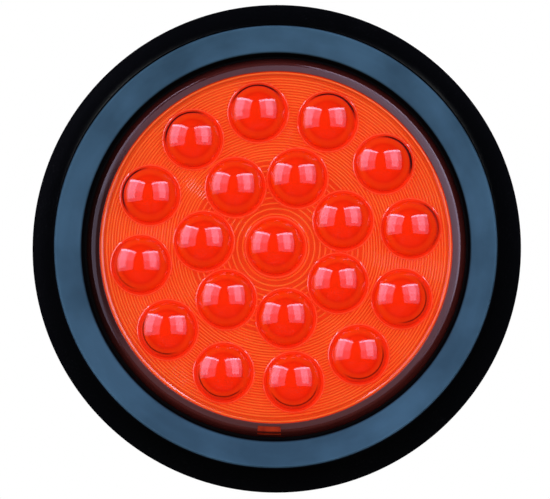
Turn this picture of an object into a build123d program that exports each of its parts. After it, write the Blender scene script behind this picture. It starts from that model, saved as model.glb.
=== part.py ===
from build123d import *
import math
import os

# A four-inch round LED stop, turn and tail lamp for a trailer, pushed into a rubber grommet
# that snaps into a round hole in a steel panel.
# Millimetres. The lamp's axis is Y and the lit face looks towards -Y. Z is up.
# The origin is on the lamp's axis, in the front face of the panel.
# Outlines of turned pieces are lists of (radius, y).

# ---- panel that the grommet snaps into
PANEL_HOLE_DIAMETER = 114.3
PANEL_THICKNESS = 3.2

# ---- rubber grommet
FLANGE_OVERLAP = 10.35
FLANGE_EDGE = 1.2
FLANGE_HEIGHT = 9.3
SLOPE_WIDTH = 6.2
SLOPE_BULGE = 1.3
LAND_BEAD_WIDTH = 0.7
LAND_BEAD_HEIGHT = 0.25
LAND_FALL = 1.9
LAND_EDGE_ROUND = 0.9
MOUTH_TAPER = 0.7
GRIP_WALL = 2.05
REAR_LIP_HEIGHT = 2.4
REAR_LIP_LENGTH = 3.4
REAR_LIP_ROUND = 1.2
REAR_SLEEVE_LENGTH = 15.0
REAR_SLEEVE_WALL = 3.6

# ---- sealed lamp: its flange, which the grommet holds, and its cover lens
LAMP_FLANGE_FRONT = -3.2
LAMP_FLANGE_THICKNESS = 2.2
LAMP_SHOULDER = 2.5
LENS_PLATE = 2.0
LENS_RIM_HEIGHT = 0.6
LENS_RIM_WIDTH = 3.7
LENS_SIDE_DRAFT = 0.2
LENS_RIM_ROUND = 1.1
LENS_SEAT = 3.7
LENS_TONGUE_WIDTH = 1.5
LENS_TONGUE_DEPTH = 0.85
GLUE_GAP = 0.15
FACE_BEAD_WIDTH = 0.9
FACE_GROOVE_WIDTH = 0.5
FACE_GROOVE_DEPTH = 0.35
FACE_MARGIN = 1.2

# ---- optic domes on the lens, one in front of each light-emitting diode
DOME_DIAMETER = 15.0
DOME_WALL = 2.0
DOME_CROWN = 3.2
DOME_STEP_WIDTH = 1.0
DOME_STEP_HEIGHT = 0.35
DOME_SIDE_GAP = 4.0
DOME_RING_GAP = 2.6
OUTER_RING_START = 7.5
INNER_RING_START = 72.5
CENTRE_STEP_WIDTH = 1.5
CENTRE_PAD_WIDTH = 3.0
CENTRE_PAD_HEIGHT = 0.15

# ---- housing behind the lens
HOUSING_WALL = 1.8
HOUSING_DRAFT = 0.5
HOUSING_LEDGE = 2.1
HOUSING_FLOOR = 2.2
HOUSING_REAR_ROUND = 2.6
COMPONENT_SPACE = 7.0

# ---- three-pin socket on the back of the housing, and the webs that stiffen it
SOCKET_BORE = 26.0
SOCKET_WALL = 2.4
SOCKET_LENGTH = 14.7
SOCKET_FLOOR_RISE = 0.8
SOCKET_BEAD = 0.6
SOCKET_BEAD_WIDTH = 1.8
SOCKET_BEAD_SETBACK = 2.2
SOCKET_KEY_WIDTH = 2.0
SOCKET_KEY_HEIGHT = 1.2
PIN_DIAMETER = 4.6
PIN_PITCH_RADIUS = 7.3
PIN_LENGTH = 11.4
PIN_TIP_ROUND = 1.2
PIN_COLLAR_STEP = 0.8
PIN_COLLAR_LENGTH = 1.6
PIN_TAIL_DIAMETER = 1.6
PIN_TAIL_STICKOUT = 0.7
WEB_COUNT = 6
WEB_START = 30.0
WEB_THICKNESS = 1.6
WEB_HEIGHT = 2.5
WEB_SETBACK = 6.2
WEB_SHOULDER = 9.6
WEB_RISE = 10.0

# ---- light-emitting diodes
LED_DIAMETER = 5.0
LED_FOOT_STEP = 0.4
LED_FOOT_HEIGHT = 1.0
LED_HEIGHT = 8.6
LED_TIP_GAP = 1.6
LEG_DIAMETER = 0.5
LEG_PITCH = 2.54
LEG_STICKOUT = 1.0

# ---- circuit board and reflector
BOARD_THICKNESS = 1.6
REFLECTOR_PLATE = 1.2
REFLECTOR_SKIRT = 1.2
CUP_MOUTH_INSET = 0.1
CUP_WALL = 0.8
STAKE_DIAMETER = 2.4
STAKE_HEAD_DIAMETER = 4.0
STAKE_HEAD_HEIGHT = 0.8
STAKE_ANGLES = (50.0, 202.0, 298.0)

# ---- parts soldered to the back of the board, each (length, width, height)
RESISTOR_SIZE = (6.3, 3.2, 0.9)
RESISTOR_ANGLES = (80.0, 110.0, 140.0, 245.0, 272.0)
TAIL_RESISTOR_SIZE = (3.2, 1.6, 0.7)
TAIL_RESISTOR_ANGLES = (20.0, 32.0)
REGULATOR_SIZE = (6.6, 6.1, 2.3)
REGULATOR_ANGLES = (175.0, 330.0)
DIODE_SIZE = (4.3, 2.6, 2.2)
DIODE_ANGLES = (30.0, 150.0, 270.0)
SUPPRESSOR_SIZE = (4.6, 3.6, 2.3)
SUPPRESSOR_ANGLE = 90.0
CAPACITOR_DIAMETER = 5.0
CAPACITOR_HEIGHT = 5.4
CAPACITOR_FOOT = 0.8
CAPACITOR_ANGLES = (0.0, 222.0)
SOLDER_HEIGHT = 0.8
LEG_SOLDER_WIDTH = 0.65
PIN_SOLDER_WIDTH = 1.3

# ---- clearances
RUNNING_CLEARANCE = 0.3
LIP_GAP = 0.6
REFLECTOR_GAP = 0.3
BOARD_EDGE_CLEARANCE = 0.2
THROAT_CLEARANCE = 0.3
CUP_BOARD_CLEARANCE = 0.2
HOLE_CLEARANCE = 0.1

# ---- radii that follow from the panel hole inwards and outwards
panel_radius = PANEL_HOLE_DIAMETER / 2
flange_radius = panel_radius + FLANGE_OVERLAP
land_radius = flange_radius - SLOPE_WIDTH
groove_radius = panel_radius - GRIP_WALL
lamp_flange_radius = groove_radius - RUNNING_CLEARANCE
lens_radius = lamp_flange_radius - LAMP_SHOULDER
rim_inner_radius = lens_radius - LENS_RIM_WIDTH
bore_radius = lens_radius - LENS_SEAT
housing_radius = bore_radius + HOUSING_WALL
ledge_radius = bore_radius - HOUSING_LEDGE
tongue_radius = (lens_radius + bore_radius - LENS_TONGUE_WIDTH) / 2
reflector_radius = bore_radius - BOARD_EDGE_CLEARANCE
dome_radius = DOME_DIAMETER / 2
face_groove_radius = rim_inner_radius - FACE_BEAD_WIDTH
outer_ring_radius = face_groove_radius - FACE_GROOVE_WIDTH - FACE_MARGIN - DOME_STEP_WIDTH - dome_radius
inner_ring_radius = outer_ring_radius - DOME_DIAMETER - DOME_RING_GAP
parts_radius = (outer_ring_radius + inner_ring_radius) / 2
core_radius = (inner_ring_radius + PIN_PITCH_RADIUS) / 2
socket_radius = SOCKET_BORE / 2
socket_outer_radius = socket_radius + SOCKET_WALL
web_foot_radius = socket_radius + SOCKET_WALL / 2

# ---- planes across the axis, from the lit face to the back
lens_face = LAMP_FLANGE_FRONT - LENS_PLATE
lens_rim_face = lens_face - LENS_RIM_HEIGHT
reflector_front = LAMP_FLANGE_FRONT + REFLECTOR_GAP
lamp_flange_rear = LAMP_FLANGE_FRONT + LAMP_FLANGE_THICKNESS
led_tip = LAMP_FLANGE_FRONT + LED_TIP_GAP
board_front = led_tip + LED_HEIGHT
board_rear = board_front + BOARD_THICKNESS
floor_inside = board_rear + COMPONENT_SPACE
housing_rear = floor_inside + HOUSING_FLOOR
socket_floor = housing_rear + SOCKET_FLOOR_RISE
socket_end = housing_rear + SOCKET_LENGTH


def place(angle, radius):
    """A place round the axis, as (angle, x, z), with the angle anticlockwise from +X."""
    turn = math.radians(angle)
    return (angle, radius * math.cos(turn), radius * math.sin(turn))


def evenly_spaced(count, radius, start):
    return [place(start + index * 360 / count, radius) for index in range(count)]


def ring_of_domes(radius, start):
    """As many dome places as the ring's length holds at about one dome and one gap each."""
    count = round(2 * math.pi * radius / (DOME_DIAMETER + DOME_SIDE_GAP))
    return evenly_spaced(count, radius, start)


outer_places = ring_of_domes(outer_ring_radius, OUTER_RING_START)
inner_places = ring_of_domes(inner_ring_radius, INNER_RING_START)
led_places = outer_places + inner_places + [place(0, 0)]
pin_places = dict(
    stop_pin=place(90, PIN_PITCH_RADIUS),
    tail_pin=place(210, PIN_PITCH_RADIUS),
    ground_pin=place(330, PIN_PITCH_RADIUS),
)
stake_places = [place(angle, parts_radius) for angle in STAKE_ANGLES]


def rounded(face, rounds):
    """A flat outline with some of its corners rounded, each given as (corner, radius)."""
    for corner, radius in rounds:
        vertex = face.vertices().sort_by_distance((corner[0], corner[1], 0))[0]
        face = fillet(vertex, radius)
    return face


def turned(outline, rounds=()):
    """The solid that an outline of (radius, y) points makes when it turns about the Y axis."""
    return revolve(rounded(make_face(Polyline(*outline, close=True)), rounds), Axis.Y)


def rod(radius, front, rear):
    return turned([(0, front), (radius, front), (radius, rear), (0, rear)])


def cone(front_radius, rear_radius, front, rear):
    return turned([(0, front), (front_radius, front), (rear_radius, rear), (0, rear)])


def tube(inner, outer, front, rear):
    return turned([(inner, front), (outer, front), (outer, rear), (inner, rear)])


def at(where, shape):
    """A piece made on the axis, moved to its place and turned to face outwards from the axis."""
    angle, x, z = where
    return Pos(x, 0, z) * Rot(0, -angle, 0) * shape


def make_grommet():
    lip_inside = LAMP_FLANGE_FRONT - RUNNING_CLEARANCE
    groove_rear = lamp_flange_rear + RUNNING_CLEARANCE
    throat_radius = lens_radius + LIP_GAP
    land_inner = (throat_radius + MOUTH_TAPER, LAND_FALL - FLANGE_HEIGHT)
    land_outer = (land_radius, -FLANGE_HEIGHT)
    bead_inner = (land_radius - LAND_BEAD_WIDTH, -FLANGE_HEIGHT)
    bead_middle = (land_radius - LAND_BEAD_WIDTH / 2, -FLANGE_HEIGHT - LAND_BEAD_HEIGHT)
    edge = (flange_radius, -FLANGE_EDGE)
    slope_length = math.dist(edge, land_outer)
    bulge = (
        (flange_radius + land_radius) / 2 + SLOPE_BULGE * (FLANGE_HEIGHT - FLANGE_EDGE) / slope_length,
        -(FLANGE_HEIGHT + FLANGE_EDGE) / 2 - SLOPE_BULGE * SLOPE_WIDTH / slope_length,
    )
    sleeve_bore = housing_radius + RUNNING_CLEARANCE
    sleeve_end = (sleeve_bore + REAR_SLEEVE_WALL, REAR_SLEEVE_LENGTH)
    rear_lip_radius = panel_radius + REAR_LIP_HEIGHT
    rear_lip_end = (rear_lip_radius, PANEL_THICKNESS + REAR_LIP_LENGTH)
    inside_and_back = Polyline(
        bead_inner, land_inner, (throat_radius, lip_inside), (groove_radius, lip_inside),
        (groove_radius, groove_rear), (sleeve_bore, groove_rear), (sleeve_bore, REAR_SLEEVE_LENGTH),
        sleeve_end, rear_lip_end, (rear_lip_radius, PANEL_THICKNESS),
        (panel_radius, PANEL_THICKNESS), (panel_radius, 0), (flange_radius, 0), edge,
    )
    slope = ThreePointArc(edge, bulge, land_outer)
    bead = ThreePointArc(land_outer, bead_middle, bead_inner)
    rounds = (
        (land_inner, LAND_EDGE_ROUND), (rear_lip_end, REAR_LIP_ROUND), (sleeve_end, REAR_LIP_ROUND),
    )
    return revolve(rounded(make_face([inside_and_back, slope, bead]), rounds), Axis.Y)


def make_dome(step_width=DOME_STEP_WIDTH):
    """A pillar with a round crown, on a low round step, standing on the face of the lens."""
    step_radius = dome_radius + step_width
    step_face = lens_face - DOME_STEP_HEIGHT
    wall_top = step_face - DOME_WALL
    foot = lens_face + LENS_PLATE / 2
    outline = Polyline(
        (0, wall_top - DOME_CROWN), (0, foot), (step_radius, foot), (step_radius, step_face),
        (dome_radius, step_face), (dome_radius, wall_top),
    )
    crown_radius = (dome_radius ** 2 + DOME_CROWN ** 2) / (2 * DOME_CROWN)
    tilt = math.asin(dome_radius / crown_radius) / 2
    crown_centre = wall_top - DOME_CROWN + crown_radius
    crown_middle = (crown_radius * math.sin(tilt), crown_centre - crown_radius * math.cos(tilt))
    crown = ThreePointArc((dome_radius, wall_top), crown_middle, (0, wall_top - DOME_CROWN))
    return revolve(make_face([outline, crown]), Axis.Y)


def make_lens():
    rim_corner = (lens_radius - LENS_SIDE_DRAFT, lens_rim_face)
    tongue_outer = tongue_radius + LENS_TONGUE_WIDTH
    tongue_rear = LAMP_FLANGE_FRONT + LENS_TONGUE_DEPTH
    outline = [
        (0, lens_face), (face_groove_radius - FACE_GROOVE_WIDTH, lens_face),
        (face_groove_radius - FACE_GROOVE_WIDTH / 2, lens_face + FACE_GROOVE_DEPTH),
        (face_groove_radius, lens_face), (rim_inner_radius, lens_face),
        (rim_inner_radius, lens_rim_face), rim_corner, (lens_radius, LAMP_FLANGE_FRONT),
        (tongue_outer, LAMP_FLANGE_FRONT), (tongue_outer, tongue_rear), (tongue_radius, tongue_rear),
        (tongue_radius, LAMP_FLANGE_FRONT), (0, LAMP_FLANGE_FRONT),
    ]
    lens = turned(outline, [(rim_corner, LENS_RIM_ROUND)])
    for where in outer_places + inner_places:
        lens += at(where, make_dome())
    lens += rod(dome_radius + CENTRE_PAD_WIDTH, lens_face - CENTRE_PAD_HEIGHT, lens_face)
    lens += make_dome(CENTRE_STEP_WIDTH)
    return lens


def glue_groove():
    rear = LAMP_FLANGE_FRONT + LENS_TONGUE_DEPTH + GLUE_GAP
    outer = tongue_radius + LENS_TONGUE_WIDTH + GLUE_GAP
    return tube(tongue_radius - GLUE_GAP, outer, LAMP_FLANGE_FRONT, rear)


def make_seal_bead():
    """The ring of sealant that fills the groove round the lens's tongue."""
    tongue_outer = tongue_radius + LENS_TONGUE_WIDTH
    tongue_rear = LAMP_FLANGE_FRONT + LENS_TONGUE_DEPTH
    return glue_groove() - tube(tongue_radius, tongue_outer, LAMP_FLANGE_FRONT, tongue_rear)


def make_web():
    """A stiffening web from the side of the socket out across the back of the housing."""
    root_plane = housing_rear - HOUSING_FLOOR / 2
    web_end = housing_radius - HOUSING_DRAFT - WEB_SETBACK
    outline = Polyline(
        (web_foot_radius, root_plane), (web_end, root_plane),
        (web_end, housing_rear + WEB_HEIGHT / 2), (web_end - WEB_HEIGHT, housing_rear + WEB_HEIGHT),
        (socket_outer_radius + WEB_SHOULDER, housing_rear + WEB_HEIGHT),
        (web_foot_radius, housing_rear + WEB_RISE),
        close=True,
    )
    return extrude(make_face(outline), WEB_THICKNESS / 2, both=True)


def make_socket_bead():
    """The raised ring near the mouth of the socket, which a plug's boot snaps over."""
    bead_rear = socket_end - SOCKET_BEAD_SETBACK
    bead_front = bead_rear - SOCKET_BEAD_WIDTH
    crest = (socket_outer_radius + SOCKET_BEAD, (bead_front + bead_rear) / 2)
    return turned(
        [
            (web_foot_radius, bead_front), (socket_outer_radius, bead_front), crest,
            (socket_outer_radius, bead_rear), (web_foot_radius, bead_rear),
        ]
    )


def make_housing():
    rear_corner = (housing_radius - HOUSING_DRAFT, housing_rear)
    outline = [
        (bore_radius, LAMP_FLANGE_FRONT), (lamp_flange_radius, LAMP_FLANGE_FRONT),
        (lamp_flange_radius, lamp_flange_rear), (housing_radius, lamp_flange_rear),
        rear_corner, (0, housing_rear), (0, floor_inside), (ledge_radius, floor_inside),
        (ledge_radius, board_rear), (bore_radius, board_rear),
    ]
    housing = turned(outline, [(rear_corner, HOUSING_REAR_ROUND)])
    housing -= glue_groove()
    housing += rod(socket_outer_radius, housing_rear, socket_end)
    housing += make_socket_bead()
    for where in evenly_spaced(WEB_COUNT, 0, WEB_START):
        housing += at(where, make_web())
    housing -= rod(socket_radius, socket_floor, socket_end)
    key_length = socket_end - socket_floor
    key = Pos(0, socket_floor + key_length / 2, 0) * Box(
        2 * SOCKET_KEY_HEIGHT, key_length, SOCKET_KEY_WIDTH
    )
    housing += at(place(270, socket_radius), key)
    for where in pin_places.values():
        housing -= at(where, make_pin())
    return housing


def make_pin():
    """One terminal: a plain pin in the socket, a collar flush with the socket's floor, and a tail."""
    pin_radius = PIN_DIAMETER / 2
    collar_radius = pin_radius + PIN_COLLAR_STEP
    tail_radius = PIN_TAIL_DIAMETER / 2
    tail_end = board_front - PIN_TAIL_STICKOUT
    collar_front = socket_floor - PIN_COLLAR_LENGTH
    tip = socket_floor + PIN_LENGTH
    outline = [
        (0, tail_end), (tail_radius, tail_end), (tail_radius, floor_inside),
        (pin_radius, floor_inside), (pin_radius, collar_front), (collar_radius, collar_front),
        (collar_radius, socket_floor), (pin_radius, socket_floor), (pin_radius, tip), (0, tip),
    ]
    return turned(outline, [((pin_radius, tip), PIN_TIP_ROUND)])


def make_cup(wall=0.0):
    """The inside of one reflector cup, or its outside when it is given a wall."""
    mouth = dome_radius - CUP_MOUTH_INSET + wall
    throat = LED_DIAMETER / 2 + LED_FOOT_STEP + THROAT_CLEARANCE + wall
    return cone(mouth, throat, reflector_front, board_front - CUP_BOARD_CLEARANCE)


def make_reflector():
    plate_rear = reflector_front + REFLECTOR_PLATE
    skirt_inner = reflector_radius - REFLECTOR_SKIRT
    head_rear = board_rear + STAKE_HEAD_HEIGHT
    reflector = rod(reflector_radius, reflector_front, plate_rear)
    reflector += tube(skirt_inner, reflector_radius, reflector_front, board_front)
    stake = rod(STAKE_DIAMETER / 2, reflector_front, board_rear)
    stake += cone(STAKE_HEAD_DIAMETER / 2, STAKE_DIAMETER / 2, board_rear, head_rear)
    for where in led_places:
        reflector += at(where, make_cup(CUP_WALL))
    for where in stake_places:
        reflector += at(where, stake)
    for where in led_places:
        reflector -= at(where, make_cup())
    return reflector


def leg_pair(shape):
    """Two copies of a piece, one at each leg of a light-emitting diode on the axis."""
    return [Pos(0, 0, side * LEG_PITCH / 2) * shape for side in (-1, 1)]


def make_board():
    leg_hole = rod(LEG_DIAMETER / 2 + HOLE_CLEARANCE, board_front, board_rear)
    stake_hole = rod(STAKE_DIAMETER / 2, board_front, board_rear)
    pin_hole = rod(PIN_TAIL_DIAMETER / 2 + HOLE_CLEARANCE, board_front, board_rear)
    holes = [at(where, hole) for where in led_places for hole in leg_pair(leg_hole)]
    holes += [at(where, stake_hole) for where in stake_places]
    holes += [at(where, pin_hole) for where in pin_places.values()]
    return rod(reflector_radius, board_front, board_rear) - holes


def make_led():
    """A clear-bodied light-emitting diode with a round tip and a wider foot on the board."""
    body_radius = LED_DIAMETER / 2
    foot_radius = body_radius + LED_FOOT_STEP
    foot_front = board_front - LED_FOOT_HEIGHT
    crown_foot = led_tip + body_radius
    outline = Polyline(
        (0, led_tip), (0, board_front), (foot_radius, board_front), (foot_radius, foot_front),
        (body_radius, foot_front), (body_radius, crown_foot),
    )
    middle = body_radius * math.sqrt(0.5)
    crown = ThreePointArc((body_radius, crown_foot), (middle, crown_foot - middle), (0, led_tip))
    return revolve(make_face([outline, crown]), Axis.Y)


def make_leg():
    return rod(LEG_DIAMETER / 2, board_front, board_rear + LEG_STICKOUT)


def make_solder(wire_diameter, width):
    """A cone of solder on the back of the board round a wire that comes through it."""
    wire_radius = wire_diameter / 2
    top = board_rear + SOLDER_HEIGHT
    joint = cone(wire_radius + width, wire_radius + width / 4, board_rear, top)
    return joint - rod(wire_radius, board_rear, top)


def on_board(angle, radius, size):
    """A block-shaped part on the back of the board, its length across the radius."""
    length, width, height = size
    block = Pos(0, board_rear + height / 2, 0) * Box(width, height, length)
    return at(place(angle, radius), block)


def make_capacitor():
    """An upright can on a square plastic foot."""
    foot = Pos(0, board_rear + CAPACITOR_FOOT / 2, 0) * Box(
        CAPACITOR_DIAMETER, CAPACITOR_FOOT, CAPACITOR_DIAMETER
    )
    return foot + rod(CAPACITOR_DIAMETER / 2, board_rear, board_rear + CAPACITOR_HEIGHT)


def make_leds():
    """The light-emitting diodes, as node name to the separate solids in it."""
    return dict(
        leds_outer_ring=[at(where, make_led()) for where in outer_places],
        leds_inner_ring=[at(where, make_led()) for where in inner_places],
        led_centre=[make_led()],
    )


def make_buried_parts():
    """Everything on the back of the board, as node name to the separate solids in it."""
    leg_solder = make_solder(LEG_DIAMETER, LEG_SOLDER_WIDTH)
    pin_solder = make_solder(PIN_TAIL_DIAMETER, PIN_SOLDER_WIDTH)
    blocks = dict(
        string_resistors=(RESISTOR_ANGLES, parts_radius, RESISTOR_SIZE),
        tail_resistors=(TAIL_RESISTOR_ANGLES, parts_radius, TAIL_RESISTOR_SIZE),
        current_regulators=(REGULATOR_ANGLES, parts_radius, REGULATOR_SIZE),
        polarity_diodes=(DIODE_ANGLES, core_radius, DIODE_SIZE),
        surge_suppressor=((SUPPRESSOR_ANGLE,), core_radius, SUPPRESSOR_SIZE),
    )
    parts = {
        name: [on_board(angle, radius, size) for angle in angles]
        for name, (angles, radius, size) in blocks.items()
    }
    parts["capacitors"] = [
        at(place(angle, parts_radius), make_capacitor()) for angle in CAPACITOR_ANGLES
    ]
    parts["led_legs"] = [at(where, leg) for where in led_places for leg in leg_pair(make_leg())]
    parts["leg_solder"] = [at(where, joint) for where in led_places for joint in leg_pair(leg_solder)]
    parts["pin_solder"] = [at(where, pin_solder) for where in pin_places.values()]
    return parts


def make_potting(buried):
    """The resin that fills the space between the board and the floor of the housing."""
    return rod(ledge_radius, board_rear, floor_inside) - buried


def write_node(name, shapes):
    solids = [solid for shape in shapes for solid in shape.solids()]
    export_step(Compound(label=name, children=solids), f"parts/{name}.step")


def main():
    os.makedirs("parts", exist_ok=True)
    leds = make_leds()
    buried_parts = make_buried_parts()
    pins = {name: [at(where, make_pin())] for name, where in pin_places.items()}
    reflector = make_reflector()
    buried = [shape for shapes in [*buried_parts.values(), *pins.values()] for shape in shapes]
    nodes = dict(
        grommet=[make_grommet()],
        lens=[make_lens()],
        housing=[make_housing()],
        seal_bead=[make_seal_bead()],
        reflector=[reflector],
        circuit_board=[make_board()],
        potting=[make_potting(buried + [reflector])],
        **pins,
        **leds,
        **buried_parts,
    )
    for name, shapes in nodes.items():
        write_node(name, shapes)


main()
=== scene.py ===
# %% [markdown]
# This lesson builds the looks of a round red trailer lamp, lit by light-emitting diodes, in its rubber
# grommet. The mechanical model comes first and stays as it is: every piece below takes its place from
# that frame, in metres. The lamp's axis is Y and its lit face looks towards -Y. Only the two pieces
# that show in front, the rubber and the red lens, are modelled again with finer detail. The others
# keep their mechanical shape and get a finish.

# %% Load the frame
import math
import bpy
from mathutils import Matrix, Vector


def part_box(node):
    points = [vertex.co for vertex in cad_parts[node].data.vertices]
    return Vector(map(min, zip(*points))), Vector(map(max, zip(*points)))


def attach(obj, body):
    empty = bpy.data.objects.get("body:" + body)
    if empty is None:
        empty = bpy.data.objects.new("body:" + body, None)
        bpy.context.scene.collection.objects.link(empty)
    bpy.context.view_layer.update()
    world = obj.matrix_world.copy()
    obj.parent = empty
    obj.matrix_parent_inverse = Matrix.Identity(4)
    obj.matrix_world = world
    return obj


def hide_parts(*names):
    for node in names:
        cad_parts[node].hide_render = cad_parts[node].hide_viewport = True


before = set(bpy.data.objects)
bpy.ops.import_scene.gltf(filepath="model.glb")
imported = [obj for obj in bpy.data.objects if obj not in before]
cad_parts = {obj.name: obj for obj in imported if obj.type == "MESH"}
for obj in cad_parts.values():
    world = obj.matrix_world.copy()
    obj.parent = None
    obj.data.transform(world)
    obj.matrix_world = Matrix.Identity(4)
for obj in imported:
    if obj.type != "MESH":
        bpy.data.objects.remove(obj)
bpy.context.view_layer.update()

MM = 0.001

# %% [markdown]
# The outer edges are read from the frame, in millimetres, so that the two new pieces keep the measured
# size of the old ones. The widths of rings and grooves between them are named where they are used.

# %% Sizes read from the frame
grommet_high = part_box("grommet")[1] / MM
lens_low, lens_high = (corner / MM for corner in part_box("lens"))
flange_radius = grommet_high.x
sleeve_end = grommet_high.y
lens_radius = lens_high.x
crown_front = lens_low.y
print("radii in mm: flange", round(flange_radius, 2), "lens", round(lens_radius, 2))

# %% [markdown]
# Almost every piece of this lamp is round, so the first helper works as a turner does. It starts from a
# small plane, merges it to one point, extrudes that point along half of the outline, and spins the
# outline about the lamp's axis. A screw modifier would do the same, but its seam is harder to close.
# Here the double points of the seam are merged before the normals are made to point outwards.

# %% Helpers: select nothing, spin an outline, shade
LATHE_STEPS = 192


def deselect_all():
    if bpy.context.mode != "OBJECT":
        bpy.ops.object.mode_set(mode="OBJECT")
    bpy.ops.object.select_all(action="DESELECT")


def work_on(piece):
    deselect_all()
    piece.select_set(True)
    bpy.context.view_layer.objects.active = piece


def spun(name, outline, steps=LATHE_STEPS, closed=True, angle=360):
    """A turned piece from a list of (radius, y) points in millimetres."""
    deselect_all()
    outline = [(max(radius, 0) * MM, y * MM) for radius, y in outline]
    bpy.ops.mesh.primitive_plane_add(size=MM, location=(0, 0, 0))
    piece = bpy.context.object
    piece.name = name
    bpy.ops.object.mode_set(mode="EDIT")
    bpy.ops.mesh.select_all(action="SELECT")
    bpy.ops.mesh.merge(type="CENTER")
    bpy.ops.transform.translate(value=(*outline[0], 0))
    for start, end in zip(outline, outline[1:] + outline[:1] * closed):
        step = (end[0] - start[0], end[1] - start[1], 0)
        bpy.ops.mesh.extrude_vertices_move(TRANSFORM_OT_translate={"value": step})
    bpy.ops.mesh.select_all(action="SELECT")
    bpy.ops.mesh.spin(steps=steps, angle=math.radians(angle), center=(0, 0, 0), axis=(0, 1, 0))
    bpy.ops.mesh.select_all(action="SELECT")
    bpy.ops.mesh.remove_doubles(threshold=0.002 * MM)
    bpy.ops.mesh.normals_make_consistent(inside=False)
    bpy.ops.object.mode_set(mode="OBJECT")
    print(name, "spun:", len(piece.data.polygons), "faces")
    return piece


def smooth(piece, degrees):
    work_on(piece)
    bpy.ops.object.shade_smooth_by_angle(angle=math.radians(degrees))


# %% [markdown]
# A moulded piece has no sharp corners, because plastic and rubber don't fill a sharp corner of a mould.
# A bevel modifier could round the spun ring afterwards, but it rounds every corner alike. Rounding the
# outline before it is spun gives each corner its own size. The helpers below put arcs in an outline.

# %% Helpers: arcs and rounded corners in an outline


def arc(centre, radius, start, end, count):
    """Points on an arc, with angles in degrees from the radius direction."""
    turns = [math.radians(start + (end - start) * i / count) for i in range(count + 1)]
    return [(centre[0] + radius * math.cos(t), centre[1] + radius * math.sin(t)) for t in turns]


def bulged(a, c, bulge, count):
    """Points on the arc from a to c that stands out from the straight line by the bulge."""
    a, c = Vector(a), Vector(c)
    across = (c - a) / 2
    middle = (a + c) / 2
    out = Vector((-across.y, across.x)).normalized()
    radius = (across.length_squared + bulge * bulge) / (2 * bulge)
    half = math.asin(across.length / radius)
    points = []
    for i in range(count + 1):
        turn = half * (2 * i / count - 1)
        along = radius * math.sin(turn)
        height = radius * math.cos(turn) - radius + bulge
        points.append(tuple(middle + across.normalized() * along + out * height))
    return points


def rounded(before, corner, after, radius, count=5):
    """Points that round one corner of an outline, between the points before and after it."""
    corner = Vector(corner)
    inward = (Vector(before) - corner).normalized()
    onward = (Vector(after) - corner).normalized()
    half = inward.angle(onward) / 2
    centre = corner + (inward + onward).normalized() * radius / math.sin(half)
    first = corner + inward * radius / math.tan(half) - centre
    last = corner + onward * radius / math.tan(half) - centre
    turn = first.angle_signed(last)
    points = []
    for i in range(count + 1):
        spoke = first.copy()
        spoke.rotate(Matrix.Rotation(-turn * i / count, 2))
        points.append(tuple(centre + spoke))
    return points


def with_rounds(corners):
    """An outline from corners given as (radius, y, rounding)."""
    outline = []
    for i, (r, y, rounding) in enumerate(corners):
        before, after = corners[i - 1], corners[(i + 1) % len(corners)]
        outline += rounded(before[:2], (r, y), after[:2], rounding) if rounding else [(r, y)]
    return outline


# %% [markdown]
# The grommet is moulded in black rubber. Its front flange rises from a thin edge in a full, convex
# slope to a flat ring, the land, which falls a little towards the lens and has a fine raised bead on
# its outer edge. Behind the panel the rubber goes on as a lip and a tapered sleeve that grips the lamp.

# %% Grommet
FLANGE_EDGE = 1.2
LAND_RADIUS = 61.3
LAND_FRONT = -9.3
MOUTH_RADIUS = 53.6
MOUTH_FRONT = -7.4
MOUTH_BACK = -3.5
THROAT_RADIUS = 52.9
SEAT_RADIUS = 55.1
SEAT_BACK = -0.7
SLEEVE_RADIUS = 50.7
SLEEVE_TIP = 54.6
GRIP_RADIUS = 57.15
REAR_LIP_RADIUS = 59.55
REAR_LIP_BACK = 6.6
PANEL_THICKNESS = 3.2
SLOPE_BULGE = 1.3
BEAD_WIDTH, BEAD_DROP, BEAD_HEIGHT = 0.7, 0.1, 0.25

land_edge = (LAND_RADIUS, LAND_FRONT)
slope = bulged((flange_radius, -FLANGE_EDGE), land_edge, -SLOPE_BULGE, 14)
bead = bulged(land_edge, (LAND_RADIUS - BEAD_WIDTH, LAND_FRONT + BEAD_DROP), -BEAD_HEIGHT, 6)
back = [
    (MOUTH_RADIUS, MOUTH_FRONT, 0.9), (THROAT_RADIUS, MOUTH_BACK, 0.2),
    (SEAT_RADIUS, MOUTH_BACK, 0.2), (SEAT_RADIUS, SEAT_BACK, 0.3),
    (SLEEVE_RADIUS, SEAT_BACK, 0.2), (SLEEVE_RADIUS, sleeve_end, 0.4), (SLEEVE_TIP, sleeve_end, 1.2),
    (REAR_LIP_RADIUS, REAR_LIP_BACK, 1.2), (REAR_LIP_RADIUS, PANEL_THICKNESS, 0.5),
    (GRIP_RADIUS, PANEL_THICKNESS, 0.3), (GRIP_RADIUS, 0.0, 0.3), (flange_radius, 0.0, 0.4),
]
grommet = spun("grommet_rubber", with_rounds([(r, y, 0) for r, y in slope + bead[1:]] + back))
smooth(grommet, 35)
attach(grommet, "root")
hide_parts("grommet")

# %% [markdown]
# The lens is one clear red moulding. Between its domes the face is cut with fine round grooves, which
# break up the light, twice as close outside the inner ring of domes. They are real grooves in the mesh:
# a bump map would neither bend the light inside clear plastic nor show from the side. A deeper groove
# and a bead close the face at its edge. The rim outside them stands proud and falls away a little, and
# a steep slope takes it down to the rubber. A tongue on the back of the rim fits in the glue groove.

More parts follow.
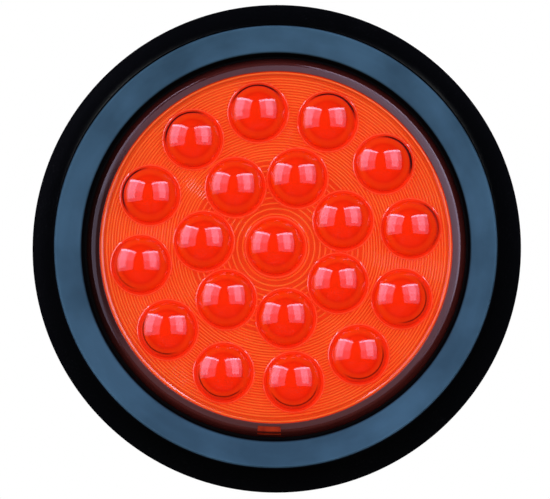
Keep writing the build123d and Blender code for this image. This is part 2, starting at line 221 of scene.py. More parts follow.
# %% Lens plate
PLATE_FACE = -5.2
PLATE_BACK = -3.2
RIM_FACE = -5.8
GROOVE_PITCH = 1.5
GROOVE_WIDTH = 0.50
GROOVE_DEPTH = 0.20
FIRST_GROOVE = 0.15
FINE_GROOVES_FROM = 24.0
EDGE_GROOVE_RADIUS = 47.4
EDGE_GROOVE_DEPTH = 0.5
BEAD_RADIUS = 48.1
LENS_BEAD_HEIGHT = 0.22
RIM_RADIUS = 48.6
RIM_CORNER = 50.95
RIM_FALL = 0.45
RIM_FOOT = -3.7
TONGUE = (50.2, 51.7)
TONGUE_BACK = -2.35

grooves = [(0, PLATE_FACE)]
middle = FIRST_GROOVE + GROOVE_PITCH
while middle < BEAD_RADIUS - 1.3:
    grooves += [
        (middle - GROOVE_WIDTH / 2, PLATE_FACE),
        (middle, PLATE_FACE + GROOVE_DEPTH),
        (middle + GROOVE_WIDTH / 2, PLATE_FACE),
    ]
    middle += GROOVE_PITCH / 2 if middle > FINE_GROOVES_FROM else GROOVE_PITCH
rim = [
    (EDGE_GROOVE_RADIUS - GROOVE_WIDTH / 2, PLATE_FACE, 0),
    (EDGE_GROOVE_RADIUS, PLATE_FACE + EDGE_GROOVE_DEPTH, 0),
    (EDGE_GROOVE_RADIUS + GROOVE_WIDTH / 2, PLATE_FACE, 0),
    (BEAD_RADIUS, PLATE_FACE - LENS_BEAD_HEIGHT, 0.2), (RIM_RADIUS - 0.05, PLATE_FACE, 0),
    (RIM_RADIUS, RIM_FACE, 0.15), (RIM_CORNER, RIM_FACE + RIM_FALL, 0.8),
    (lens_radius - 0.15, RIM_FOOT, 0.3), (lens_radius, PLATE_BACK, 0),
    (TONGUE[1], PLATE_BACK, 0), (TONGUE[1], TONGUE_BACK, 0),
    (TONGUE[0], TONGUE_BACK, 0), (TONGUE[0], PLATE_BACK, 0), (0, PLATE_BACK, 0),
]
lens = spun("lens_red", grooves + with_rounds(rim), closed=False)

# %% [markdown]
# Each dome stands in front of one diode: a short pillar with a round crown on a low step. One is spun
# and copied round both rings, which is quicker than spinning each. An array modifier could copy them
# too, but it needs an empty to turn about for each ring. The middle dome has a wider step of its own.

# %% Domes
OUTER_RING = (12, 37.5, 7.5)
INNER_RING = (7, 19.9, 72.5)
DOME_RADIUS = 7.5
DOME_STEPS = 56
STEP_HEIGHT = 0.35
STEP_DISH = 0.15
STEP_WIDTH = 1.0
CENTRE_STEP_WIDTH = 1.5
WALL_HEIGHT = 2.0
DOME_ROOT = -4.4


def dome_outline(step_width):
    step_face = PLATE_FACE - STEP_HEIGHT
    height = step_face - WALL_HEIGHT - crown_front
    sphere = (DOME_RADIUS**2 + height**2) / (2 * height)
    tilt = math.degrees(math.asin(DOME_RADIUS / sphere))
    edge = DOME_RADIUS + step_width
    foot = [
        (DOME_RADIUS, step_face + STEP_DISH), (edge - 0.45, step_face + STEP_DISH),
        (edge - 0.2, step_face), (edge, step_face + 0.12), (edge + 0.05, PLATE_FACE + 0.3),
        (edge, DOME_ROOT), (0, DOME_ROOT),
    ]
    return arc((0, crown_front + sphere), sphere, -90, -90 + tilt, 12) + foot


def ring_places(count, radius, start):
    turns = [math.radians(start + 360 * i / count) for i in range(count)]
    return [Vector((radius * math.cos(t), 0, radius * math.sin(t))) * MM for t in turns]


def copy_to(piece, place):
    """A copy of a piece with its own mesh, moved by changing the mesh."""
    twin = piece.copy()
    twin.data = piece.data.copy()
    bpy.context.scene.collection.objects.link(twin)
    twin.data.transform(Matrix.Translation(place))
    return twin


first_dome = spun("dome", dome_outline(STEP_WIDTH), steps=DOME_STEPS, closed=False)
places = ring_places(*OUTER_RING) + ring_places(*INNER_RING)
domes = [copy_to(first_dome, place) for place in places]
bpy.data.objects.remove(first_dome)
centre_dome = spun("centre_dome", dome_outline(CENTRE_STEP_WIDTH), steps=DOME_STEPS, closed=False)
work_on(centre_dome)
for dome in domes:
    dome.select_set(True)
bpy.ops.object.join()
print("domes:", len(domes) + 1)

# %% [markdown]
# In the real moulding the domes and the plate are one body. A boolean welds them, which leaves one
# closed skin. Domes that only overlap the plate would be simpler, but the light would bend twice where
# the skins cross. The exact solver is slower than the fast one, but safe where faces nearly touch.

# %% Weld the domes to the plate
weld = lens.modifiers.new("weld", "BOOLEAN")
weld.operation = "UNION"
weld.solver = "EXACT"
weld.object = centre_dome
work_on(lens)
bpy.ops.object.modifier_apply(modifier="weld")
bpy.data.objects.remove(centre_dome)
smooth(lens, 28)
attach(lens, "lamp")
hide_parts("lens")
print("lens:", len(lens.data.polygons), "faces")

# %% [markdown]
# Melted plastic enters the lens mould through one gate, and trimming it leaves a small matt patch on
# the rim, at the bottom. It is a thin skin on the rim: a short spin of the rim's own outline, which
# Solidify then makes thick. Solidify suits it because the patch follows the rim's slope.

# %% Gate mark
GATE_ANGLE = 7.2
GATE_PLACE = 92.1
GATE_THICKNESS = 0.12
gate_line = [(49.5, RIM_FACE), (RIM_CORNER - 0.2, RIM_FACE + RIM_FALL - 0.04), (51.7, -4.3)]
gate = spun("gate_mark", gate_line, steps=10, closed=False, angle=GATE_ANGLE)
gate.data.transform(Matrix.Rotation(math.radians(GATE_PLACE + GATE_ANGLE / 2), 4, "Y"))
solid = gate.modifiers.new("skin", "SOLIDIFY")
solid.thickness = GATE_THICKNESS * MM
solid.offset = 0
work_on(gate)
bpy.ops.object.modifier_apply(modifier="skin")
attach(gate, "lamp")
print("gate mark at z", round(min(v.co.z for v in gate.data.vertices) / MM, 2), "mm")

# %% [markdown]
# Now the finishes. A material is a small tree of nodes. The helper below adds one node and fills its
# inputs: a plain number stays on the socket, and another node's output is linked to it. The rest are
# shorthands for what the finishes share: a mix of two colours, a range, a sum, a mask and a bump.

# %% Helpers for materials


def add(tree, kind, inputs=None, **settings):
    node = tree.nodes.new("ShaderNode" + kind)
    for name, value in settings.items():
        setattr(node, name, value)
    for name, value in (inputs or {}).items():
        if isinstance(value, bpy.types.NodeSocket):
            tree.links.new(value, node.inputs[name])
        else:
            node.inputs[name].default_value = value
    return node


def blended(tree, share, a, b):
    """A colour that goes from a to b with the share; sockets 6 and 7 of this node are its colours."""
    return add(tree, "Mix", {0: share, 6: a, 7: b}, data_type="RGBA").outputs[2]


def ranged(tree, value, low, high, to_low, to_high):
    inputs = {"Value": value, "From Min": low, "From Max": high, "To Min": to_low, "To Max": to_high}
    return add(tree, "MapRange", inputs).outputs["Result"]


def maths(tree, operation, a, b=0.0):
    return add(tree, "Math", {0: a, 1: b}, operation=operation).outputs[0]


def near(tree, value, middle, whole, none):
    """A mask that is 1 within one distance of the middle, and 0 beyond another."""
    away = maths(tree, "ABSOLUTE", maths(tree, "SUBTRACT", value, middle))
    return ranged(tree, away, whole, none, 1.0, 0.0)


def finish(name, **values):
    """A new material: its tree, its Principled shader and its place on the piece."""
    material = bpy.data.materials.new(name)
    material.use_nodes = True
    tree = material.node_tree
    shader = tree.nodes["Principled BSDF"]
    for socket, value in values.items():
        shader.inputs[socket.replace("_", " ")].default_value = value
    place = add(tree, "TexCoord").outputs["Object"]
    print("finish:", name)
    return material, tree, shader, place


def wire(tree, shader, colour=None, roughness=None, height=None, depth=0.02):
    """Link the colour and the roughness, and press the height into the surface by the depth in mm."""
    if colour:
        tree.links.new(colour, shader.inputs["Base Color"])
    if roughness:
        tree.links.new(roughness, shader.inputs["Roughness"])
    if height:
        bump = add(tree, "Bump", {"Height": height, "Distance": depth * MM})
        tree.links.new(bump.outputs["Normal"], shader.inputs["Normal"])


def paint(piece, material):
    piece.data.materials.clear()
    piece.data.materials.append(material)


# %% [markdown]
# Three effects come back in many finishes, so each is a node group that is built once. The first is the
# skin of a moulded piece: a fine grain that is pressed in as a bump, and wide soft patches that shift
# colour and shine. One noise texture could do either, but real plastic shows both scales at once.

# %% Node group: moulded skin


def new_group(name, inputs, outputs):
    group = bpy.data.node_groups.new(name, "ShaderNodeTree")
    for label, kind, value in inputs:
        socket = group.interface.new_socket(label, in_out="INPUT", socket_type="NodeSocket" + kind)
        if value is not None:
            socket.default_value = value
    for label in outputs:
        group.interface.new_socket(label, in_out="OUTPUT", socket_type="NodeSocketFloat")
    return group, group.nodes.new("NodeGroupInput").outputs, group.nodes.new("NodeGroupOutput").inputs


def noise(tree, place, scale, detail=3.0, roughness=0.5):
    inputs = {"Vector": place, "Scale": scale, "Detail": detail, "Roughness": roughness}
    return add(tree, "TexNoise", inputs).outputs["Fac"]


skin, given, wanted = new_group(
    "moulded_skin",
    [("Place", "Vector", None), ("Grain Scale", "Float", 3000.0), ("Patch Scale", "Float", 40.0)],
    ["Grain", "Patches"],
)
skin.links.new(noise(skin, given["Place"], given["Grain Scale"], 2.0), wanted["Grain"])
patches = noise(skin, given["Place"], given["Patch Scale"], 4.0)
skin.links.new(ranged(skin, patches, 0.3, 0.7, 0.0, 1.0), wanted["Patches"])
print("group:", skin.name)

# %% [markdown]
# The second effect is a set of streaks that run round the axis, as a cloth or a lathe leaves them. A
# plain noise is stretched round the circle: its place is the direction from the axis, which changes
# slowly, and the distance from the axis, which is enlarged by the fineness.

# %% Node group: round streaks


def across_axis(tree, parts):
    """The part of a place that lies across the lamp's axis, and its length."""
    flat = add(tree, "CombineXYZ", {"X": parts["X"], "Z": parts["Z"]}).outputs[0]
    return flat, add(tree, "VectorMath", {0: flat}, operation="LENGTH").outputs["Value"]


streaks, given, wanted = new_group(
    "round_streaks",
    [("Place", "Vector", None), ("Fineness", "Float", 600.0), ("Turns", "Float", 3.0)],
    ["Mask"],
)
parts = add(streaks, "SeparateXYZ", {0: given["Place"]}).outputs
flat, distance = across_axis(streaks, parts)
heading = add(streaks, "VectorMath", {0: flat}, operation="NORMALIZE").outputs[0]
stretch = {0: heading, "Scale": given["Turns"]}
heading = add(streaks, "VectorMath", stretch, operation="SCALE").outputs[0]
depth = maths(streaks, "MULTIPLY", maths(streaks, "ADD", distance, parts["Y"]), given["Fineness"])
rise = add(streaks, "CombineXYZ", {"Y": depth}).outputs[0]
track = add(streaks, "VectorMath", {0: heading, 1: rise}, operation="ADD").outputs[0]
mask = ranged(streaks, noise(streaks, track, 1.0, 3.0), 0.42, 0.68, 0.0, 1.0)
streaks.links.new(mask, wanted["Mask"])
print("group:", streaks.name)

# %% [markdown]
# The third is dust and handling marks: small specks that lie thicker in some places than in others. The
# specks come from a fine noise, cut off high, and a wide noise decides where they lie.

# %% Node group: dust
dust, given, wanted = new_group(
    "dust", [("Place", "Vector", None), ("Amount", "Float", 0.3)], ["Mask"]
)
specks = ranged(dust, noise(dust, given["Place"], 2200.0, 2.0), 0.6, 0.72, 0.0, 1.0)
spread = ranged(dust, noise(dust, given["Place"], 45.0, 3.0), 0.45, 0.7, 0.15, 1.0)
share = maths(dust, "MULTIPLY", specks, spread)
dust.links.new(maths(dust, "MULTIPLY", share, given["Amount"]), wanted["Mask"])
print("group:", dust.name)


def use(tree, group, place, **values):
    """Place a group in a material with its own values."""
    node = add(tree, "Group", node_tree=group)
    tree.links.new(place, node.inputs["Place"])
    for name, value in values.items():
        node.inputs[name.replace("_", " ")].default_value = value
    return node.outputs


def in_mm(tree, place):
    """The X, Y and Z of a place, in millimetres."""
    scaled = add(tree, "VectorMath", {0: place, "Scale": 1 / MM}, operation="SCALE").outputs[0]
    return add(tree, "SeparateXYZ", {0: scaled}).outputs


def from_axis(tree, place):
    """The distance from the lamp's axis and the depth along it, in millimetres."""
    parts = in_mm(tree, place)
    return across_axis(tree, parts)[1], parts["Y"]


def ramp(tree, value, low, high, stops):
    """Colours at given values between low and high."""
    node = add(tree, "ValToRGB", {0: ranged(tree, value, low, high, 0.0, 1.0)})
    elements = node.color_ramp.elements
    while len(elements) < len(stops):
        elements.new(len(elements) / len(stops))
    for element, (at, colour) in zip(elements, stops):
        element.position = (at - low) / (high - low)
        element.color = (*colour, 1)
    return node.outputs["Color"]


# %% [markdown]
# Black rubber shines little. The land's slate colour is a painted reflection of the bluish studio
# light, and the paler ring along its outer bead is a painted highlight. The colours follow the distance
# from the axis, and a range on the depth keeps them on the front of the land. Soft patches and round
# streaks make it uneven, as a hand's grip and a cloth do. Behind the panel the rubber is painted a
# little greyer, as painted light that brightens its back.

# %% Finish: black rubber
BLACK = (0.0012, 0.0014, 0.0015)
# The next two are painted light: a reflection on the land and a highlight on its bead.
SLATE_REFLECTION = (0.0300, 0.0695, 0.0920)
LAND_BEAD_HIGHLIGHT = (0.0350, 0.0800, 0.1030)
SLATE_TO_BLACK = (0.018, 0.042, 0.054)
# A paler grey for behind the panel: painted light for the back.
BACK_PAINTED_LIGHT = (0.0095, 0.0098, 0.0102)
RUBBER_DUST = (0.06, 0.06, 0.058)
rubber, tree, shader, place = finish("black_rubber", Specular_IOR_Level=0.01)
radius, depth = from_axis(tree, place)
land = ramp(tree, radius, 50.0, 65.0, [
    (53.55, BLACK), (53.75, SLATE_TO_BLACK), (54.1, SLATE_REFLECTION), (60.2, SLATE_REFLECTION),
    (60.45, LAND_BEAD_HIGHLIGHT), (60.8, SLATE_REFLECTION), (61.0, BLACK),
])
surface = use(tree, skin, place, Grain_Scale=2600.0, Patch_Scale=42.0)
rubbed = use(tree, streaks, place, Fineness=260.0, Turns=3.0)["Mask"]
clouds = ranged(tree, surface["Patches"], 0.25, 0.75, 0.80, 1.15)
lift = maths(tree, "ADD", clouds, ranged(tree, rubbed, 0, 1, 0.0, 0.16))
land = add(tree, "VectorMath", {0: land, "Scale": lift}, operation="SCALE").outputs[0]
front = ranged(tree, depth, -6.5, -6.9, 0.0, 1.0)
specks = use(tree, dust, place, Amount=0.10)["Mask"]
behind = ranged(tree, depth, -1.0, 0.5, 0.0, 1.0)
# Behind the panel the rubber turns to that paler grey of painted light.
body = blended(tree, behind, (*BLACK, 1), (*BACK_PAINTED_LIGHT, 1))
colour = blended(tree, front, body, land)
colour = blended(tree, specks, colour, (*RUBBER_DUST, 1))
roughness = ranged(tree, maths(tree, "ADD", surface["Patches"], rubbed), 0.0, 2.0, 0.62, 0.42)
wire(tree, shader, colour, roughness, surface["Grain"], depth=0.012)
paint(grommet, rubber)

# %% [markdown]
# The optics look different from place to place. A dome is deep red, with a darker ring of painted shade
# inside it, a paler band of painted light further out and a dark line of painted shade at its edge. A
# fine pale line of painted highlight runs round its step, and between the edge and the step the plastic
# is darker. All of it follows the distance from the nearest dome's centre. An image could hold that,
# but a group of math nodes stays exact. In a ring of domes, the angle is wrapped to half a pitch either
# side of the nearest dome, which folds them all into one.

# %% Node group: distance from the nearest dome
nearest, given, wanted = new_group("dome_distance", [("Place", "Vector", None)], ["Distance"])
parts = in_mm(nearest, given["Place"])
turn = maths(nearest, "ARCTAN2", parts["Z"], parts["X"])
reach = across_axis(nearest, parts)[1]
closest = reach
for count, ring_radius, start in (OUTER_RING, INNER_RING):
    half = math.pi / count
    folded = maths(nearest, "SUBTRACT", turn, math.radians(start))
    folded = add(nearest, "Math", {0: folded, 1: half, 2: -half}, operation="WRAP").outputs[0]
    across = maths(nearest, "MULTIPLY", reach, maths(nearest, "SINE", folded))
    along = maths(nearest, "MULTIPLY", reach, maths(nearest, "COSINE", folded))
    along = maths(nearest, "SUBTRACT", along, ring_radius)
    offset = add(nearest, "CombineXYZ", {"X": across, "Y": along}).outputs[0]
    offset = add(nearest, "VectorMath", {0: offset}, operation="LENGTH").outputs["Value"]
    closest = maths(nearest, "MINIMUM", closest, offset)
nearest.links.new(closest, wanted["Distance"])
print("group:", nearest.name)

# %% [markdown]
# The lens lets some of the light through and scatters the rest, as pigmented plastic does, so about
# half of its weight is transmission. The cut grooves get paler orange lines, a painted highlight. The
# rim has no white reflector behind it, only the black housing, so it is painted dark. Its face is
# frosted, except on the left, where it has been rubbed clear; there its colour is darker still, partly
# for the black housing that shows through and partly as painted shade on that side. At the outer domes
# a dark crescent of painted shade lies at the foot of the upper ones, and a thin dark line of painted
# shade a little further in on the lower ones. Rays that only test for a light see a plain tinted film
# in place of the lens, because a path tracer is slow to find a light through a bend.

# %% Finish: red plastic
PLATE_RED = (0.71, 0.052, 0.0060)
PLATE_PALE = (0.76, 0.073, 0.0110)
# Paler orange for the groove lines: a painted highlight.
GROOVE_HIGHLIGHT = (0.87, 0.210, 0.0290)
RIM_DARK = (0.078, 0.014, 0.010)
# The rim's colour on its clear left: dark housing seen through, and painted shade.
RIM_CLEAR_AND_SHADED = (0.032, 0.009, 0.007)
SHADED = (0.030, 0.0020, 0.0015)
FILM_RED = (0.894, 0.300, 0.140)
STEP_EDGE = 8.6
DARK_LINE_RADIUS = 6.7
CRESCENT_SIDE = (41.0, 43.6)
DARK_LINE_SIDE = (39.5, 42.0)
FROST_AND_SHADE_FROM = (-49.0, -38.0)
FROSTED_TO = (50.1, 50.4)
# Reds by distance from a dome's centre, with rings of painted shade, painted light and a painted
# highlight.
DOME_REDS_AND_PAINTED_LIGHT = [
    (0.0, (0.84, 0.032, 0.0010)), (4.6, (0.86, 0.028, 0.0008)), (5.2, (0.78, 0.022, 0.0006)),
    (5.8, (0.88, 0.046, 0.0020)), (6.5, (0.91, 0.058, 0.0026)), (6.9, (0.89, 0.044, 0.0014)),
    (7.3, (0.84, 0.034, 0.0008)), (7.5, (0.74, 0.028, 0.0020)), (7.8, (0.82, 0.056, 0.0060)),
    (8.1, (0.78, 0.052, 0.0090)), (8.35, (0.92, 0.150, 0.0420)), (8.6, (0.84, 0.100, 0.0200)),
]
red, tree, shader, place = finish("red_plastic", Transmission_Weight=0.45, IOR=1.49)
radius = from_axis(tree, place)[0]
surface = use(tree, skin, place, Grain_Scale=260.0, Patch_Scale=70.0)
from_dome = use(tree, nearest, place)["Distance"]
# The dome colours carry the painted shade rings, light band and step highlight.
dome_colour_and_painted_light = ramp(tree, from_dome, 0.0, 10.0, DOME_REDS_AND_PAINTED_LIGHT)
pitch = maths(tree, "DIVIDE", maths(tree, "SUBTRACT", radius, FIRST_GROOVE), GROOVE_PITCH)
beside = maths(tree, "PINGPONG", pitch, 0.5)
cut = ranged(tree, beside, 0.08, 0.19, 1.0, 0.0)
between = ranged(tree, beside, 0.33, 0.43, 0.0, 1.0)
fine_zone = ranged(tree, radius, FINE_GROOVES_FROM, FINE_GROOVES_FROM + 0.5, 0.0, 0.85)
cut = maths(tree, "MAXIMUM", cut, maths(tree, "MULTIPLY", between, fine_zone))
plate = blended(tree, surface["Patches"], (*PLATE_RED, 1), (*PLATE_PALE, 1))
# The groove lines take the paler orange of painted highlight.
plate = blended(tree, cut, plate, (*GROOVE_HIGHLIGHT, 1))
off_dome = ranged(tree, from_dome, STEP_EDGE, STEP_EDGE + 0.15, 0.0, 1.0)
colour = blended(tree, off_dome, dome_colour_and_painted_light, plate)
spot = in_mm(tree, place)
# Painted shade: a dark crescent at the foot of the upper outer domes.
crescent = maths(tree, "MULTIPLY", near(tree, from_dome, DOME_RADIUS, 0.22, 0.5),
                 ranged(tree, radius, *CRESCENT_SIDE, 0.0, 1.0))
above = ranged(tree, spot["Z"], -5.0, 15.0, 0.0, 1.0)
colour = blended(tree, maths(tree, "MULTIPLY", crescent, above), colour, (*SHADED, 1))
# Painted shade: a thin dark line on the lower outer domes.
line = maths(tree, "MULTIPLY", near(tree, from_dome, DARK_LINE_RADIUS, 0.10, 0.30),
             ranged(tree, radius, *DARK_LINE_SIDE, 0.0, 1.0))
below = ranged(tree, spot["Z"], 0.0, -15.0, 0.0, 0.75)
colour = blended(tree, maths(tree, "MULTIPLY", line, below), colour, (*SHADED, 1))
on_rim = ranged(tree, radius, RIM_RADIUS, RIM_RADIUS + 0.1, 0.0, 1.0)
# A mask for the rim's left: clear there, with its colour painted darker as shade.
frost_and_shade = ranged(tree, spot["X"], *FROST_AND_SHADE_FROM, 0.0, 1.0)
rim_colour = blended(tree, frost_and_shade, (*RIM_CLEAR_AND_SHADED, 1), (*RIM_DARK, 1))
colour = blended(tree, on_rim, colour, rim_colour)
rubbed = use(tree, streaks, place, Fineness=900.0, Turns=4.0)["Mask"]
polished = ranged(tree, rubbed, 0.0, 1.0, 0.05, 0.10)
frosted = maths(tree, "MULTIPLY", on_rim, ranged(tree, radius, *FROSTED_TO, 0.32, 0.0))
frosted = maths(tree, "MULTIPLY", frosted, frost_and_shade)
wire(tree, shader, colour, maths(tree, "ADD", polished, frosted), surface["Grain"], depth=0.002)
film = add(tree, "BsdfTransparent", {"Color": (*FILM_RED, 1)})
testing = add(tree, "LightPath").outputs["Is Shadow Ray"]
both = add(tree, "MixShader", {0: testing, 1: shader.outputs[0], 2: film.outputs[0]})
tree.links.new(both.outputs[0], tree.nodes["Material Output"].inputs["Surface"])
paint(lens, red)

# %% [markdown]
# Where the gate was cut, the same plastic is torn and no longer clear, so it is matt and opaque.

# %% Finish: torn plastic of the gate
torn, tree, shader, place = finish("torn_red_plastic", Specular_IOR_Level=0.12)
surface = use(tree, skin, place, Grain_Scale=1500.0, Patch_Scale=400.0)
colour = blended(tree, surface["Patches"], (0.16, 0.007, 0.001, 1), (0.30, 0.022, 0.002, 1))
roughness = ranged(tree, surface["Grain"], 0.3, 0.7, 0.4, 0.7)
wire(tree, shader, colour, roughness, surface["Grain"], depth=0.06)
paint(gate, torn)

# %% [markdown]
# The housing is moulded in black plastic. New plastic of this kind has a fine spark-eroded grain, and
# picks up pale scuffs where it has been pushed through the rubber. A scuff is lighter and rougher, so
# one mask serves both the colour and the roughness. The front of its flange, which shows in the gap
# round the lens, is smooth, and its colour there is painted darker, as painted shade in that gap.

# %% Finish: black housing plastic
housing_black, tree, shader, place = finish("black_housing_plastic", Specular_IOR_Level=0.45)
surface = use(tree, skin, place, Grain_Scale=1900.0, Patch_Scale=38.0)
scuffs = use(tree, streaks, place, Fineness=1500.0, Turns=9.0)["Mask"]
specks = use(tree, dust, place, Amount=0.35)["Mask"]
colour = blended(tree, surface["Patches"], (0.0075, 0.0080, 0.0086, 1), (0.0135, 0.0140, 0.0150, 1))
colour = blended(tree, maths(tree, "MULTIPLY", scuffs, 0.16), colour, (0.045, 0.046, 0.048, 1))
colour = blended(tree, specks, colour, (0.16, 0.155, 0.145, 1))
depth = from_axis(tree, place)[1]
# Painted shade: the flange front that shows in the gap round the lens is made darker.
front = ranged(tree, depth, -2.6, -3.0, 0.0, 1.0)
colour = blended(tree, front, colour, (*BLACK, 1))
roughness = ranged(tree, maths(tree, "ADD", surface["Patches"], scuffs), 0.0, 2.0, 0.34, 0.58)
roughness = maths(tree, "MULTIPLY", roughness, ranged(tree, front, 0.0, 1.0, 1.0, 0.2))
wire(tree, shader, colour, roughness, surface["Grain"], depth=0.018)

# %% [markdown]
# The white reflector behind the lens decides how bright the whole face looks, so it stays close to
# plain white, with a slight cream tint in soft patches and a soft shine.

# %% Finish: white reflector plastic
white, tree, shader, place = finish("white_reflector_plastic")
surface = use(tree, skin, place, Grain_Scale=900.0, Patch_Scale=90.0)
colour = blended(tree, surface["Patches"], (0.80, 0.79, 0.76, 1), (0.84, 0.83, 0.81, 1))
roughness = ranged(tree, surface["Patches"], 0, 1, 0.28, 0.42)
wire(tree, shader, colour, roughness, surface["Grain"], depth=0.006)

# %% [markdown]
# The circuit board has a green lacquer over its copper. The copper lines show through the lacquer as
# paler, slightly raised tracks. The edges between square cells make such tracks, which turn by right
# angles as real ones do.

# %% Finish: board lacquer
lacquer, tree, shader, place = finish("board_lacquer", Coat_Weight=0.4, Coat_Roughness=0.15)
squares = {"Vector": place, "Scale": 190.0, "Randomness": 0.55}
cells = add(tree, "TexVoronoi", squares, distance="CHEBYCHEV")
tracks = ranged(tree, cells.outputs["Distance"], 0.36, 0.42, 0.0, 1.0)
surface = use(tree, skin, place, Grain_Scale=1600.0, Patch_Scale=60.0)
ground = blended(tree, surface["Patches"], (0.010, 0.075, 0.030, 1), (0.014, 0.095, 0.040, 1))
colour = blended(tree, tracks, ground, (0.035, 0.170, 0.070, 1))
roughness = ranged(tree, surface["Grain"], 0.3, 0.7, 0.3, 0.45)
wire(tree, shader, colour, roughness, tracks, depth=0.035)

# %% [markdown]
# A diode's body is clear epoxy with a metal cup inside. From outside that reads as a pale, glassy
# bullet that turns grey towards its foot, so the colour follows the depth along the axis.

# %% Finish: diode epoxy
epoxy, tree, shader, place = finish("diode_epoxy", Coat_Weight=1.0, Coat_Roughness=0.04)
depth = from_axis(tree, place)[1]
surface = use(tree, skin, place, Grain_Scale=700.0, Patch_Scale=300.0)
body = blended(tree, surface["Patches"], (0.66, 0.63, 0.58, 1), (0.74, 0.72, 0.68, 1))
colour = blended(tree, ranged(tree, depth, 3.0, 5.5, 0.0, 1.0), body, (0.30, 0.29, 0.28, 1))
roughness = ranged(tree, surface["Grain"], 0.3, 0.7, 0.10, 0.22)
wire(tree, shader, colour, roughness, surface["Grain"], depth=0.004)

# %% [markdown]
# The metals differ in colour and in how they were worked. Turned brass has fine rings along the pin,
# which here come from a noise that reads only the depth along the axis. Handling turns brass brown in
# patches. Tinned wire is drawn and solder is cast, so solder gets soft lumps in place of rings.

# %% Finishes: brass, tinned wire, solder, capacitor can


def metal(name, bright, dull, smoothest, roughest, rings, lumps, depth):
    material, tree, shader, place = finish(name, Metallic=1.0)
    surface = use(tree, skin, place, Grain_Scale=lumps, Patch_Scale=260.0)
    along = add(tree, "SeparateXYZ", {0: place}).outputs["Y"]
    turned = add(tree, "CombineXYZ", {"Y": maths(tree, "MULTIPLY", along, rings)}).outputs[0]
    cut = noise(tree, turned, 1.0, 2.0)
    colour = blended(tree, surface["Patches"], (*bright, 1), (*dull, 1))
    roughness = ranged(tree, surface["Patches"], 0.0, 1.0, smoothest, roughest)
    height = maths(tree, "ADD", cut, maths(tree, "MULTIPLY", surface["Grain"], 0.6))
    wire(tree, shader, colour, roughness, height, depth)
    return material


brass = metal("turned_brass", (0.78, 0.54, 0.22), (0.46, 0.29, 0.12), 0.16, 0.42, 4200.0, 1400.0, 0.006)
tinned = metal("tinned_wire", (0.70, 0.70, 0.68), (0.48, 0.48, 0.47), 0.20, 0.40, 900.0, 1800.0, 0.004)
solder = metal("cast_solder", (0.66, 0.66, 0.65), (0.40, 0.40, 0.41), 0.14, 0.45, 300.0, 700.0, 0.020)
can = metal("drawn_aluminium", (0.74, 0.75, 0.77), (0.56, 0.57, 0.59), 0.22, 0.38, 2600.0, 900.0, 0.004)
print("metals:", brass.name, tinned.name, solder.name, can.name)

# %% [markdown]
# The last finishes are poured or pressed resins. Sealant is pressed into its groove and sets in low
# waves, potting resin is poured and sets almost flat, and the chips are moulded in matt epoxy.

# %% Finishes: sealant, potting resin, chip epoxy


def resin(name, dark, pale, smoothest, roughest, waves, depth):
    material, tree, shader, place = finish(name)
    surface = use(tree, skin, place, Grain_Scale=waves, Patch_Scale=110.0)
    specks = use(tree, dust, place, Amount=0.12)["Mask"]
    colour = blended(tree, surface["Patches"], (*dark, 1), (*pale, 1))
    colour = blended(tree, specks, colour, (0.12, 0.12, 0.12, 1))
    roughness = ranged(tree, surface["Patches"], 0, 1, smoothest, roughest)
    wire(tree, shader, colour, roughness, surface["Grain"], depth)
    return material


sealant = resin("sealant", (0.010, 0.010, 0.011), (0.018, 0.018, 0.019), 0.18, 0.34, 240.0, 0.060)
potted = resin("potting_resin", (0.014, 0.014, 0.015), (0.022, 0.022, 0.023), 0.10, 0.26, 160.0, 0.040)
chip = resin("chip_epoxy", (0.012, 0.012, 0.013), (0.024, 0.024, 0.025), 0.46, 0.66, 2400.0, 0.015)

# %% [markdown]
# Each mechanical piece that stays takes its finish by name. Several pieces may share one material,
# because every pattern reads the place in the lamp, so no two of them look alike.

# %% Give every remaining piece its finish
finish_of = {
    "housing": housing_black, "seal_bead": sealant, "reflector": white, "circuit_board": lacquer,
    "potting": potted, "stop_pin": brass, "tail_pin": brass, "ground_pin": brass,
    "leds_outer_ring": epoxy, "leds_inner_ring": epoxy, "led_centre": epoxy, "led_legs": tinned,
    "leg_solder": solder, "pin_solder": solder, "string_resistors": chip, "tail_resistors": chip,
    "current_regulators": chip, "polarity_diodes": chip, "surge_suppressor": chip, "capacitors": can,
}
for name, material in finish_of.items():
    paint(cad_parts[name], material)
print("pieces with a finish:", len(finish_of) + 3, "of", len(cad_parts) + 1)

# %% [markdown]
# The stage is a plain pale floor in a white studio. The floor lies well below the lamp, which hangs
# before the lens of the camera as a catalogue shows it. The world looks white to the camera and is
# almost dark to the lamp's surfaces, so that black rubber stays black. For the same reason the floor
# glows evenly, as a lit studio table does, but neither lights the lamp nor is mirrored in it, and lets
# the light from below pass.

# %% Floor and world
FLOOR_SIZE = 30
FLOOR_HEIGHT = -0.25
FLOOR_GLOW = 0.62
WORLD_DIM = (0.040, 0.042, 0.048, 1)
WHITE = (1, 1, 1, 1)

deselect_all()
bpy.ops.mesh.primitive_plane_add(size=FLOOR_SIZE, location=(0, 0, FLOOR_HEIGHT))
floor = bpy.context.object
floor.name = "floor"
floor.visible_shadow = False
floor.visible_glossy = False
floor.visible_diffuse = False
floor_paint, tree, shader, place = finish("pale_floor", Roughness=0.8, Emission_Strength=FLOOR_GLOW)
pale = blended(tree, noise(tree, place, 6.0), (0.84, 0.84, 0.84, 1), (0.88, 0.88, 0.88, 1))
tree.links.new(pale, shader.inputs["Emission Color"])
wire(tree, shader, pale)
paint(floor, floor_paint)

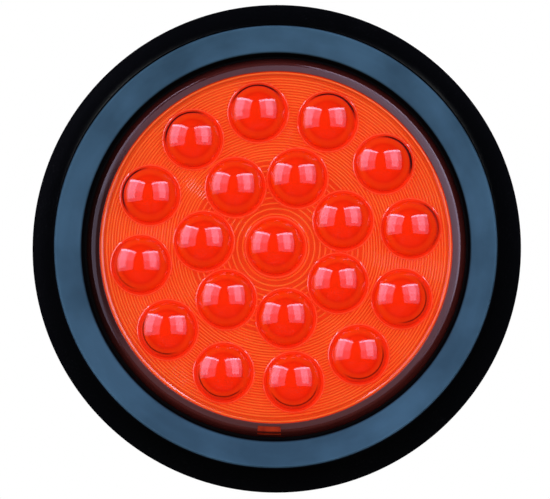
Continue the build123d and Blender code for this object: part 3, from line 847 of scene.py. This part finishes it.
world = bpy.data.worlds.new("studio")
bpy.context.scene.world = world
world.use_nodes = True
tree = world.node_tree
seen = add(tree, "LightPath").outputs["Is Camera Ray"]
tree.links.new(blended(tree, seen, WORLD_DIM, WHITE), tree.nodes["Background"].inputs["Color"])
print("floor", FLOOR_SIZE, "m wide at", FLOOR_HEIGHT, "m; world:", world.name)

# %% [markdown]
# The two tall lights on the domes are softboxes left and right of the camera. A softbox is never even:
# it is brighter in its core, towards its top, and along its top edge, so each is made of a few lights
# laid over each other. A low one lights the undersides of the domes: it is hidden from reflections and
# shines through the floor, whose shadow is off. Two more stand behind the lamp for its back. The helper
# places each one on a sphere round the lamp and turns it to face the centre.

# %% Softboxes
STAND = 1.1
STUDIO_BLUE = (0.72, 0.70, 1.0)
BACK_WHITE = (0.95, 0.97, 1.0)
FILL_WARM = (1.0, 0.93, 0.90)
SOFTBOXES = [  # name, azimuth, elevation, width, height, radiance, colour
    ("softbox_left", -53, 14, 1.15, 1.15, 1.5, STUDIO_BLUE),
    ("softbox_left_upper", -53, 28, 1.10, 0.60, 1.2, STUDIO_BLUE),
    ("softbox_left_core", -62, 18, 0.50, 0.95, 3.0, STUDIO_BLUE),
    ("strip_left", -53, 41, 1.05, 0.10, 9.0, STUDIO_BLUE),
    ("softbox_right", 32.5, 14, 1.05, 1.15, 1.5, STUDIO_BLUE),
    ("softbox_right_upper", 32.5, 28, 1.00, 0.60, 1.2, STUDIO_BLUE),
    ("softbox_right_core", 36, 18, 0.42, 0.95, 3.2, STUDIO_BLUE),
    ("strip_right", 32.5, 41, 0.95, 0.10, 9.0, STUDIO_BLUE),
    ("fill_below", -5, -40, 1.2, 0.7, 2.3, FILL_WARM),
    ("softbox_back_left", -160, 20, 0.8, 0.8, 9.0, BACK_WHITE),
    ("softbox_back_right", 160, 20, 0.8, 0.8, 9.0, BACK_WHITE),
]


def direction(azimuth, elevation):
    """The way out from the lamp: azimuth 0 is in front and 90 on the right, in degrees."""
    a, e = math.radians(azimuth), math.radians(elevation)
    return Vector((math.sin(a) * math.cos(e), -math.cos(a) * math.cos(e), math.sin(e)))


def softbox(name, azimuth, elevation, width, height, radiance, colour):
    """A rectangular light that looks equally bright from everywhere, whatever its size."""
    away = direction(azimuth, elevation)
    light = bpy.data.lights.new(name, "AREA")
    light.shape = "RECTANGLE"
    light.size, light.size_y = width, height
    light.energy = radiance * math.pi * width * height
    light.color = colour
    box = bpy.data.objects.new(name, light)
    bpy.context.scene.collection.objects.link(box)
    box.location = away * STAND
    box.rotation_euler = away.to_track_quat("Z", "Y").to_euler()
    box.visible_camera = False
    box.visible_glossy = name != "fill_below"
    print(name, "at", azimuth, elevation, "with", round(light.energy, 1), "W")


for row in SOFTBOXES:
    softbox(*row)

# %% [markdown]
# The camera stands in front, slightly to the right and a little below the axis, and looks up at the
# lamp. Its lens follows from the width that the picture has at the lamp's distance.

# %% Camera
PICTURE_WIDTH = 152.0
DISTANCE = 1600.0
CAMERA_AZIMUTH = 2.0
CAMERA_ELEVATION = -3.9
CAMERA_TARGET = Vector((-0.43, 0, -0.31))

away = direction(CAMERA_AZIMUTH, CAMERA_ELEVATION)
camera = bpy.data.objects.new("camera", bpy.data.cameras.new("camera"))
bpy.context.scene.collection.objects.link(camera)
camera.location = (CAMERA_TARGET + away * DISTANCE) * MM
camera.rotation_euler = away.to_track_quat("Z", "Y").to_euler()
camera.data.lens = camera.data.sensor_width * DISTANCE / PICTURE_WIDTH
camera.data.clip_end = 20
bpy.context.scene.camera = camera
bpy.context.scene.view_settings.view_transform = "Standard"
print("lens:", round(camera.data.lens, 1), "mm")
